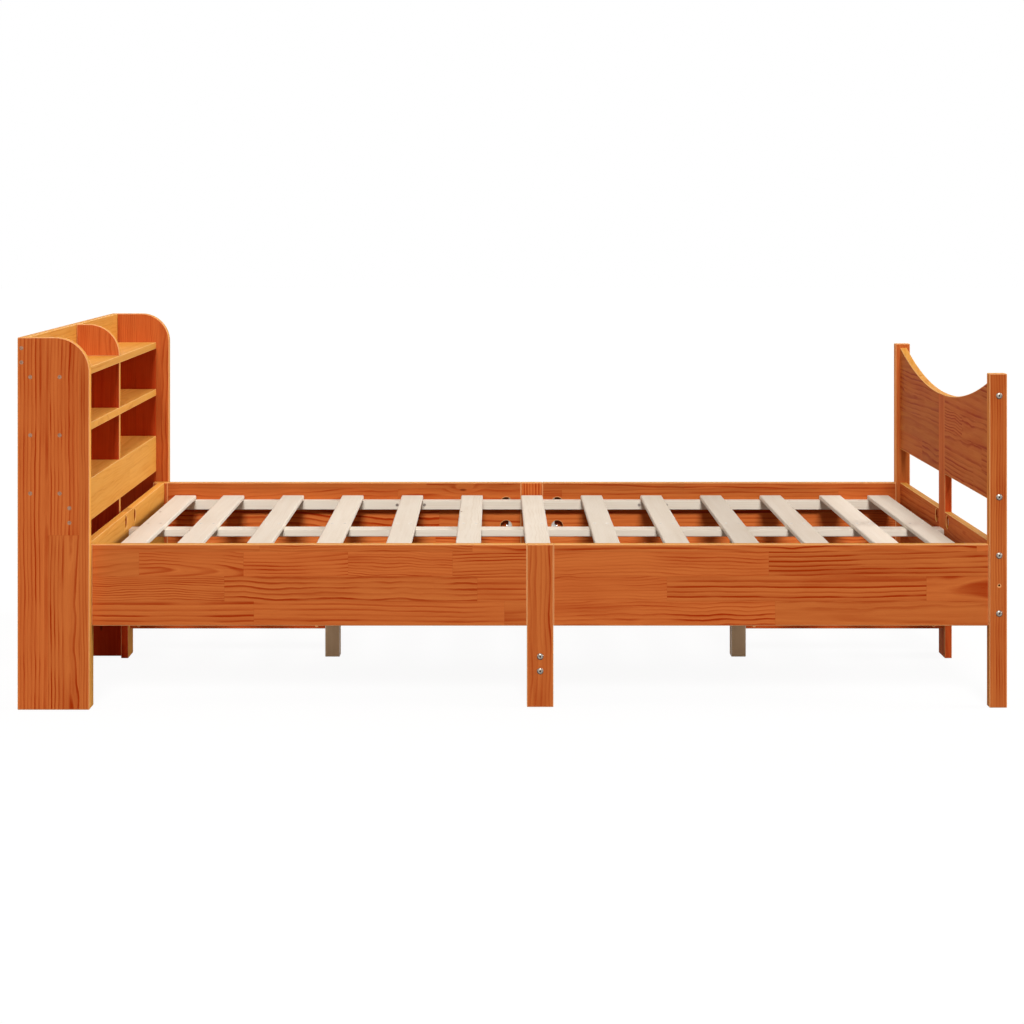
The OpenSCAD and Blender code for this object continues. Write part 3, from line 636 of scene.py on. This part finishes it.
# the same block's lower part comes forward to the centre leg
def growFoot(mesh, foot):
    sliceMesh(mesh, (0, 0, foot["z"]), (0, 0, 1))
    front = [face for face in mesh.faces
             if longestAxis(face.normal) == axisOf["x"] and face.normal.x > 0
             and face.calc_center_median().z < foot["z"]]
    moved = bmesh.ops.extrude_face_region(mesh, geom=front)["geom"]
    for corner in moved:
        if isinstance(corner, bmesh.types.BMVert):
            corner.co.x = foot["x"]
    bmesh.ops.delete(mesh, geom=front, context="FACES_ONLY")


# cuts on both sides of a tint's limits, so that the tint doesn't run across a face
def cutTintLimits(mesh, inside):
    for value, way in ((inside["x"], Vector((1, 0, 0))), (inside["z"], Vector((0, 0, 1)))):
        for step in (-near, near):
            sliceMesh(mesh, way * (value + step), way)


# edges sharper than this angle, in radians, are rounded, in this many steps
roundAbove = 0.5
roundSteps = 3


def edgesToRound(mesh, low, high, style):
    grain = axisOf[style["grain"]]
    edges = [line for line in mesh.edges
             if line.is_manifold and line.calc_face_angle() > roundAbove]
    if not style.get("ends", True):
        edges = [line for line in edges
                 if not (onLine(line, grain, low[grain]) or onLine(line, grain, high[grain]))]
    for first, firstSide, second, secondSide in style.get("square", []):
        one, other = axisOf[first], axisOf[second]
        edges = [line for line in edges
                 if not (onLine(line, one, (low, high)[firstSide][one])
                         and onLine(line, other, (low, high)[secondSide][other]))]
    return edges


# stave width, stave length and ring spacing, in metres
wideStaves = (0.056, 0.75, 0.0080)
shortStaves = (0.056, 0.40, 0.0080)
footStaves = (0.056, 0.75, 0.0098)
oneStave = (0.40, 6.0, 0.0082)
panelStaves = (0.070, 3.2, 0.0074)
bareStaves = (0.40, 6.0, 0.0042)

# each board's grain starts this far into its own stretch of wood
grainStart = 3.0


# writes the grain place, the cut, the tint and the share of painted lit amber on every corner of
# the board
def markGrain(board, number, low, high, style):
    data = board.data
    labels = ("grainPlace", "boardCut", "boardTint")
    for label in labels:
        data.attributes.new(label, "FLOAT_VECTOR", "POINT")
    data.attributes.new("thinWax", "FLOAT", "POINT")
    place, cut, tint = (data.attributes[label].data for label in labels)
    thinWax = data.attributes["thinWax"].data
    grain, width, depth = (axisOf[style[part]] for part in ("grain", "width", "depth"))
    start = number * pineGrowth["boardRoom"] + grainStart + style.get("slide", 0.0)
    shift = style.get("shift", 0.0)
    staves = style.get("staves", wideStaves)
    plain = (style.get("shade", 1.0), style.get("red", 0.0), style.get("bold", 1.0))
    inside = style.get("inside")
    for index, corner in enumerate(data.vertices):
        point = corner.co
        place[index].vector = (point[grain] - low[grain] + start,
                               point[width] - low[width] + shift,
                               point[depth] - low[depth])
        cut[index].vector = staves
        tint[index].vector = plain
        # painted light and shade: a face's own tint makes it lighter or darker, graded from its
        # bottom to its top, and can give it painted lit amber
        for face in style.get("faces", []):
            axis = axisOf[face["axis"]]
            if abs(point[axis] - (low, high)[face["side"]][axis]) < near:
                height = (point.z - low.z) / (high.z - low.z)
                shadeTop = face.get("shadeTop", face["shade"])
                tint[index].vector = (face["shade"] + (shadeTop - face["shade"]) * height,
                                      face.get("red", plain[1]), face.get("bold", plain[2]))
                thinWax[index].value = face.get("thin", 0.0)
        # painted shade: the far panel's face inside the bookcase
        onFace = point.y < low.y + near / 2
        if inside and onFace and point.x < inside["x"] and point.z < inside["z"]:
            tint[index].vector = inside["tint"]


# edges above an angle in degrees stay sharp
woodShading = {"sharp": 40, "weight": 60}


def smoothFaces(piece, sharp):
    for polygon in piece.data.polygons:
        polygon.use_smooth = True
    piece.data.set_sharp_from_angle(angle=math.radians(sharp))


boards = []


# one board: a block in the CAD node's box, shaped, with its edges rounded
def makeBoard(name, finish, style):
    low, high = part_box(name)
    mesh = bmesh.new()
    bmesh.ops.create_cube(mesh, size=1.0)
    bmesh.ops.scale(mesh, vec=high - low, verts=mesh.verts)
    bmesh.ops.translate(mesh, vec=(low + high) / 2, verts=mesh.verts)
    if "corner" in style:
        front = [line for line in mesh.edges
                 if onLine(line, axisOf["x"], high.x) and onLine(line, axisOf["z"], high.z)]
        roundEdges(mesh, front, style["corner"]["radius"], style["corner"]["steps"])
    if "arc" in style:
        curveTop(mesh, high, style["arc"])
    if "notch" in style:
        cutNotch(mesh, style["notch"])
    if "foot" in style:
        growFoot(mesh, style["foot"])
    if "inside" in style:
        cutTintLimits(mesh, style["inside"])
    # the rounded edges are marked for the painted highlight
    band = mesh.faces.layers.float.new("edgeBand")
    rounded = roundEdges(mesh, edgesToRound(mesh, low, high, style), style["edge"],
                         style.get("steps", roundSteps))
    for face in rounded["faces"]:
        face[band] = 1.0
    board = placeMesh(name + "_wood", mesh)
    plugs = plugsFor(name, low, high)
    if plugs:
        cutPlugs(board, plugs)
    board.data.materials.clear()
    board.data.materials.append(finish)
    markGrain(board, len(boards) + 1, low, high, style)
    smoothFaces(board, woodShading["sharp"])
    weighted = board.modifiers.new("even shading", "WEIGHTED_NORMAL")
    weighted.weight = woodShading["weight"]
    weighted.keep_sharp = True
    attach(board, "root")
    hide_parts(name)
    boards.append(board)


# a board's style says which way its fibres, width and depth lie. Slide and shift pick other
# wood along and across the fibres; shade, red and bold tint it, partly as the board's own tone
# and partly as painted shade on boards that stand in shade. A side is 0 at the low end of
# an axis and 1 at the high end: a face can have its own tint, which is painted light or shade,
# and a square edge, where two boards meet flush, is named by its two sides and isn't rounded
upright = {"grain": "z", "width": "x", "depth": "y"}
uprightWide = {"grain": "z", "width": "y", "depth": "x"}
crosswise = {"grain": "y", "width": "z", "depth": "x"}
flatCross = {"grain": "y", "width": "x", "depth": "z"}
lengthwise = {"grain": "x", "width": "z", "depth": "y"}
flatLength = {"grain": "x", "width": "y", "depth": "z"}

# headboard: a bookcase that stands on its side panels
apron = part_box("headboard_apron")
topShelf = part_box("top_shelf")
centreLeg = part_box("headboard_centre_leg")
supportFoot = {"x": centreLeg[0].x - 0.0008, "z": 0.300}   # a hair's gap, and its height
bookcaseCorner = {"radius": 0.078, "steps": 24}
sidePanel = {**upright, "edge": 0.0017, "corner": bookcaseCorner, "staves": panelStaves}
headPost = {**uprightWide, "edge": 0.0018, "staves": oneStave}
shelf = {**flatCross, "edge": 0.0014, "ends": False, "bold": 0.6}
# painted shade: the dividers are a deeper red, as in the shade of the compartments
divider = {**upright, "edge": 0.0014, "ends": False, "red": 0.66, "bold": 0.3}
headRail = {**crosswise, "edge": 0.0014, "ends": False, "bold": 0.6}
# painted light: upper faces are painted lighter, as lit from above
upperSide = {"axis": "z", "side": 1, "shade": 1.27}
footSide = {"axis": "x", "side": 1}
nearSide = {"axis": "y", "side": 0}
# painted shade: the far panel's face is a deeper red inside the bookcase, where shade falls
paintedShadeInside = {"x": topShelf[1].x, "z": topShelf[1].z, "tint": (0.95, 0.62, 0.3)}
headboardStyles = {
    # painted light: the near panel's face towards the foot is painted lighter, though the rail
    # shades it
    "headboard_side_left": {**sidePanel, "slide": 60.0, "bold": 1.15,
                            "faces": [{**footSide, "shade": 1.25}]},
    "headboard_side_right": {**sidePanel, "slide": 20.0, "shade": 0.94, "red": 0.10,
                             "bold": 0.5, "inside": paintedShadeInside},
    "headboard_post_left": headPost,
    "headboard_post_right": {**headPost, "red": 0.12},
    "top_shelf": {**shelf, "faces": [{**upperSide, "shade": 1.12}]},
    "middle_shelf": {**shelf, "shade": 1.04, "faces": [upperSide]},
    "bottom_shelf": {**shelf, "square": [("x", 1, "z", 0)], "faces": [upperSide]},
    "top_divider": {**upright, "edge": 0.0018, "corner": bookcaseCorner, "red": 0.10,
                    "bold": 0.5},
    "upper_divider": divider,
    "lower_divider": divider,
    # painted shade: the support panel is darker and redder, most on its near face
    "centre_support_panel": {**upright, "edge": 0.0010, "shade": 0.95, "red": 0.2, "bold": 0.4,
                             "faces": [{**nearSide, "shade": 0.80, "red": 1.0}],
                             "notch": {"x": apron[0].x, "z": apron[0].z},
                             "foot": supportFoot},
    "back_rail": {**crosswise, "edge": 0.0018, "ends": False, "bold": 0.6},
    "back_panel": {**crosswise, "edge": 0.0005, "ends": False},
    "headboard_apron": {**headRail, "slide": 40.0, "square": [("x", 1, "z", 1)]},
    "headboard_rail_left": {**headRail, "faces": [{**upperSide, "shade": 1.28}]},
    "headboard_rail_right": {**headRail, "faces": [{**upperSide, "shade": 1.28}]},
    # painted shade on the leg's near face, a deeper red; painted light on its face towards the
    # foot, lighter towards the bottom
    "headboard_centre_leg": {**uprightWide, "edge": 0.0010, "staves": oneStave, "red": 0.2,
                             "faces": [{**nearSide, "shade": 1.0, "red": 1.0},
                                       {**footSide, "shade": 1.40, "shadeTop": 0.90}]},
}

# footboard: two upper panels and two rails between posts and a centre leg
footArc = {"dip": 0.661, "radius": 2.2501, "cuts": 24}
headSide = {"axis": "x", "side": 0}
# painted light: the posts' faces towards the head are painted lighter and partly lit amber
footPost = {**upright, "edge": 0.0018, "staves": oneStave,
            "faces": [{**headSide, "shade": 1.2, "thin": 0.4}]}
footRail = {**crosswise, "edge": 0.0018, "ends": False}
footPanel = {**footRail, "arc": footArc, "staves": footStaves}
footboardStyles = {
    "footboard_post_left": {**footPost, "shift": 0.1},
    "footboard_post_right": {**footPost, "shift": 0.2},
    # painted light and shade: the panels' faces towards the head are a little darker, with a
    # little painted lit amber
    "footboard_panel_left": {**footPanel, "bold": 1.5,
                             "faces": [{**headSide, "shade": 0.93, "thin": 0.07}]},
    "footboard_panel_right": {**footPanel,
                              "faces": [{**headSide, "shade": 0.86, "thin": 0.07}]},
    "footboard_rail_left": footRail,
    "footboard_rail_right": footRail,
    # painted light: the leg's near face, shaded by the panels, is painted lighter and redder
    "footboard_centre_leg": {**uprightWide, "edge": 0.0012, "arc": {**footArc, "cuts": 6},
                             "staves": oneStave, "shade": 1.08,
                             "faces": [{**nearSide, "shade": 1.45, "red": 0.5}]},
}

# sides: rails in two halves with a leg between them, and the low rails under the bed
sideRail = {**lengthwise, "edge": 0.0017}
# painted light and shade: the far rails' inner faces are painted lighter towards the bottom and
# darker towards the top
farRail = {**sideRail, "shade": 0.93, "bold": 0.9,
           "faces": [{**nearSide, "shade": 1.48, "shadeTop": 0.80}]}
middleLeg = {**upright, "edge": 0.0017, "staves": oneStave}
stretcher = {**lengthwise, "edge": 0.0014, "ends": False, "red": 0.5}
sideStyles = {
    "side_rail_left_head": {**sideRail, "staves": shortStaves, "bold": 0.95, "slide": 70.0},
    "side_rail_left_foot": {**sideRail, "slide": 90.0},
    "side_rail_right_head": farRail,
    "side_rail_right_foot": farRail,
    "middle_leg_left": {**middleLeg, "shift": 0.15},
    "middle_leg_right": middleLeg,
    "cross_rail": footRail,
    "stretcher_head": stretcher,
    "stretcher_foot": stretcher,
}
for name, style in {**headboardStyles, **footboardStyles, **sideStyles}.items():
    makeBoard(name, waxedPine, style)
print("waxed boards built:", len(boards))

# slatted base, in bare pine
bareBoard = {"staves": bareStaves, "steps": 4}
ledger = {**lengthwise, **bareBoard, "edge": 0.0017}
# painted shade: the support legs are darker and redder, most on their near faces
supportLeg = {**upright, **bareBoard, "edge": 0.0016, "shade": 0.90, "red": 0.6,
              "faces": [{**nearSide, "shade": 0.62, "red": 1.0}]}
baseStyles = {
    "slat_ledger_left": ledger,
    "slat_ledger_right": ledger,
    "centre_beam": {**flatLength, **bareBoard, "edge": 0.0026, "ends": False},
    "support_leg_head": supportLeg,
    "support_leg_middle": supportLeg,
    "support_leg_foot": supportLeg,
}
for name, style in baseStyles.items():
    makeBoard(name, barePine, style)

# the slats' shades take turns within a small range, and their grain shifts
slatLook = {**flatCross, **bareBoard, "edge": 0.0032}
slatTurns = {"count": 13, "darkest": 0.97, "range": 0.06, "stride": 7, "shades": 5,
             "shift": 0.1, "shifts": 4}
for number in range(1, slatTurns["count"] + 1):
    turn = (number * slatTurns["stride"]) % slatTurns["shades"]
    shade = slatTurns["darkest"] + slatTurns["range"] * turn / (slatTurns["shades"] - 1)
    shift = slatTurns["shift"] * (number % slatTurns["shifts"])
    makeBoard(f"slat_{number:02d}", barePine,
              {**slatLook, "shade": shade, "shift": shift})
print("all boards built:", len(boards))

# frame bolts: domed heads with a hexagon socket; the crown is in shares of the head's radius
# and the dome's height
boltShape = {"head": 0.0074, "dome": 0.0025, "shank": 0.003, "socket": 0.0023,
             "socketDepth": 0.0020, "sides": 6, "tip": 0.001, "steps": 32, "sharp": 38,
             "crown": ((0, 0), (0.42, 0.03), (0.68, 0.16), (0.86, 0.38), (0.97, 0.70),
                       (1, 0.92), (1, 1)),
             # the painted shade on the rim: its darkness, and how much less where the rim faces up
             "flat": 0.95, "rimDark": 0.50, "rimTurn": 0.60}


def makeBolts(name, shape):
    mesh = bmesh.new()
    mesh.faces.layers.float.new("edgeBand")
    sockets = []
    crown = [(shape["head"] * wide, shape["dome"] * deep) for wide, deep in shape["crown"]]
    shank, tip = shape["shank"], shape["tip"]
    for low, high in solidBoxes(name):
        axis = longestAxis(high - low)
        top = (low + high) / 2
        way = 1 if top[axis] < 0 else -1
        top[axis] = low[axis] if way > 0 else high[axis]
        inward = Vector((0, 0, 0))
        inward[axis] = way
        length = high[axis] - low[axis]
        turnPlug(mesh, crown + [(shank, shape["dome"]), (shank, length - tip),
                                (shank - tip, length), (0, length)], top, inward, shape["steps"])
        socket = plainHole(shape["socket"], shape["socketDepth"])
        sockets.append((socket, top, inward, shape["sides"]))
    bmesh.ops.remove_doubles(mesh, verts=mesh.verts, dist=weld)
    bmesh.ops.recalc_face_normals(mesh, faces=mesh.faces)
    bolts = placeMesh(name + "_domed", mesh)
    cutPlugs(bolts, sockets, 1.0)
    bolts.data.materials.clear()
    bolts.data.materials.append(boltZinc)
    # painted shade: the sockets are dark, and the heads' rims and sides darker the more they face
    # down
    rim = bolts.data.attributes.new("paintedRimShade", "FLOAT", "FACE").data
    socketFaces = bolts.data.attributes["edgeBand"].data
    for polygon in bolts.data.polygons:
        if socketFaces[polygon.index].value > 0.5:
            rim[polygon.index].value = 1.0
        elif max(abs(part) for part in polygon.normal) < shape["flat"]:
            darkness = shape["rimDark"] - shape["rimTurn"] * polygon.normal.z
            rim[polygon.index].value = min(1.0, darkness)
    smoothFaces(bolts, shape["sharp"])
    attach(bolts, "root")
    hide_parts(name)


makeBolts("frame_bolts", boltShape)
print("bolts built")


# what the camera sees, straight or in a shine, can differ from what lights the bed
def mixBySight(tree, unseen, seen):
    path = tree.nodes.new("ShaderNodeLightPath").outputs
    direct = calc(tree, "MAXIMUM", path["Is Camera Ray"], path["Is Glossy Ray"])
    return addNode(tree, "ShaderNodeMixShader",
                   {0: direct, 1: unseen.outputs[0], 2: seen.outputs[0]})


# a plain white floor, which keeps a faint shadow
floorLook = {"size": 60.0, "drop": 0.0005, "glow": 0.93, "shadow": 0.07, "bounce": 0.18}


def buildFloor(look):
    mesh = bmesh.new()
    bmesh.ops.create_grid(mesh, x_segments=4, y_segments=4, size=look["size"] / 2)
    floor = placeMesh("floor", mesh)
    floor.location.z = -look["drop"]
    material, tree = newMaterial("whiteFloor")
    plain, shadowed = (addNode(tree, "ShaderNodeBsdfDiffuse", {"Color": (grey, grey, grey, 1)})
                       for grey in (look["bounce"], look["shadow"]))
    glow = addNode(tree, "ShaderNodeEmission", {"Strength": look["glow"]})
    seen = addNode(tree, "ShaderNodeAddShader", {0: shadowed.outputs[0], 1: glow.outputs[0]})
    showSurface(tree, mixBySight(tree, plain, seen))
    floor.data.materials.append(material)


# a warm, weak light from all round, and white behind the bed
worldLook = {"light": (1.0, 0.70, 0.52, 1), "strength": 0.21, "background": (1, 1, 1, 1)}


def buildWorld(look):
    world = bpy.data.worlds.new("studio")
    bpy.context.scene.world = world
    world.use_nodes = True
    tree = world.node_tree
    tree.nodes.clear()
    ambient = addNode(tree, "ShaderNodeBackground",
                      {"Color": look["light"], "Strength": look["strength"]})
    white = addNode(tree, "ShaderNodeBackground", {"Color": look["background"], "Strength": 1.0})
    showSurface(tree, mixBySight(tree, ambient, white), "ShaderNodeOutputWorld")


# soft daylight from four sides, most of it from the front and the foot; spreads in degrees
lampLooks = {
    "frontLamp": {"from": (0.0, -0.829, 0.559), "strength": 2.75, "spread": 14.0},
    "footLamp": {"from": (0.927, 0.0, 0.375), "strength": 2.45, "spread": 26.0},
    "headLamp": {"from": (-0.966, 0.0, 0.259), "strength": 1.28, "spread": 50.0},
    "backLamp": {"from": (0.0, 0.995, 0.100), "strength": 1.6, "spread": 60.0},
}
lampDistance = 4


def buildLamp(name, look):
    lamp = bpy.data.lights.new(name, "SUN")
    lamp.energy = look["strength"]
    lamp.angle = math.radians(look["spread"])
    sun = bpy.data.objects.new(name, lamp)
    sun.rotation_euler = Vector(look["from"]).to_track_quat("Z", "Y").to_euler()
    sun.location = Vector(look["from"]) * lampDistance
    bpy.context.scene.collection.objects.link(sun)


# a level camera with a shifted frame, from the left of the bed; lens and sensor in millimetres
cameraLook = {"place": (-0.04325, -5.9375, 1.111), "lens": 82.5, "sensor": 36.0,
              "shiftX": 0.0169, "shiftY": -0.2889}


def buildCamera(look):
    lens = bpy.data.cameras.new("camera")
    lens.lens = look["lens"]
    lens.sensor_width = look["sensor"]
    lens.shift_x = look["shiftX"]
    lens.shift_y = look["shiftY"]
    camera = bpy.data.objects.new("camera", lens)
    camera.location = look["place"]
    camera.rotation_euler = (math.radians(90), 0, 0)
    bpy.context.scene.collection.objects.link(camera)
    bpy.context.scene.camera = camera


buildFloor(floorLook)
buildWorld(worldLook)
for name, look in lampLooks.items():
    buildLamp(name, look)
buildCamera(cameraLook)
bpy.context.scene.view_settings.view_transform = "Standard"
print("stage and camera set")
